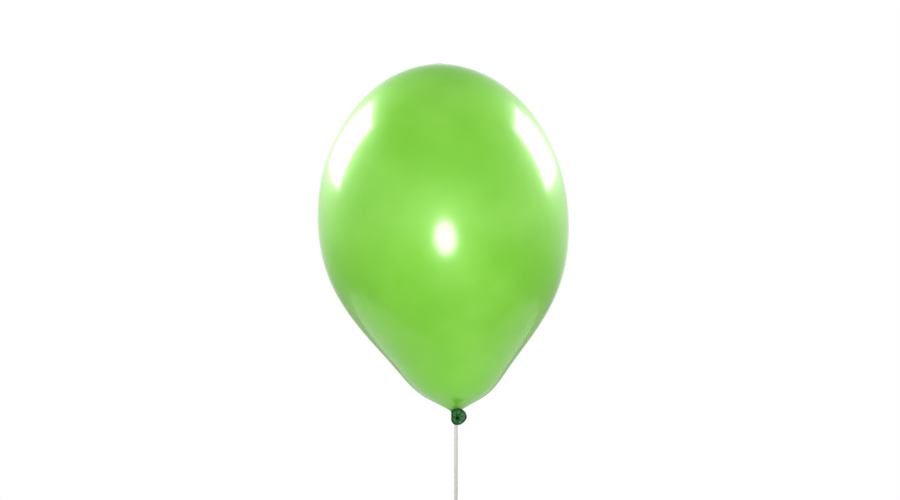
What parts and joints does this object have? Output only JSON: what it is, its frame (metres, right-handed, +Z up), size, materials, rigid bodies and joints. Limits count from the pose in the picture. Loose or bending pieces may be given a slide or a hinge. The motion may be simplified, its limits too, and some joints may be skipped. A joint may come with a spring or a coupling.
{
  "type": "latex balloon",
  "caption": "Pearl-green round latex party balloon, inflated to an egg shape, knotted at the neck with its rolled mouth showing, on a flat curling ribbon that ends in a hand loop.",
  "frame": {"origin": "middle of the gathered throat, where the neck meets the knot and the balloon is held", "axes": "+Z up from the throat towards the crown, -Y the way the mouth faces, +X to the right as seen from the mouth's side"},
  "size_m": [0.3002, 0.3, 0.5951],
  "materials": {
    "pearl_latex": "pearl lime green, smooth, high gloss",
    "neck_latex": "unstretched dark green latex, satin gloss, finely creased",
    "curling_ribbon": "white pressed film ribbon with fine lengthwise ribs, soft sheen"
  },
  "bodies": {
    "knot": {"knot": "neck_latex", "stem": "neck_latex"},
    "neck": {"neck": "neck_latex"},
    "envelope": {"envelope": "pearl_latex"},
    "tail": {"tail": "neck_latex", "lip": "neck_latex"},
    "tie": {"ribbon_turns": "curling_ribbon", "ribbon_knot": "curling_ribbon", "ribbon_tag_end": "curling_ribbon"},
    "ribbon": {"ribbon": "curling_ribbon", "loop_knot": "curling_ribbon", "hand_loop": "curling_ribbon"}
  },
  "joints": [
    {"name": "lean_sideways", "type": "hinge", "parent": "knot", "child": "neck", "pos_m": [0, 0, 0], "axis": [0, 1, 0], "range_deg": [-18, 18], "stiffness_Nm_per_rad": 0.032},
    {"name": "lean_fore_aft", "type": "hinge", "parent": "neck", "child": "envelope", "pos_m": [0, 0, 0], "axis": [-1, 0, 0], "range_deg": [-6, 18], "stiffness_Nm_per_rad": 0.032},
    {"name": "tail_bend", "type": "hinge", "parent": "knot", "child": "tail", "pos_m": [0.00297, -0.01286, -0.0064], "axis": [0.9744, 0.225, 0], "range_deg": [-4, 25], "stiffness_Nm_per_rad": 0.0005},
    {"name": "tie_turn", "type": "hinge", "parent": "knot", "child": "tie", "pos_m": [0.00194, -0.00838, -0.0064], "axis": [0.225, -0.9744, 0], "range_deg": [-45, 45]},
    {"name": "ribbon_swing", "type": "hinge", "parent": "tie", "child": "ribbon", "pos_m": [0.00115, -0.00856, -0.0112], "axis": [0.9744, 0.225, 0], "range_deg": [-25, 70]}
  ]
}
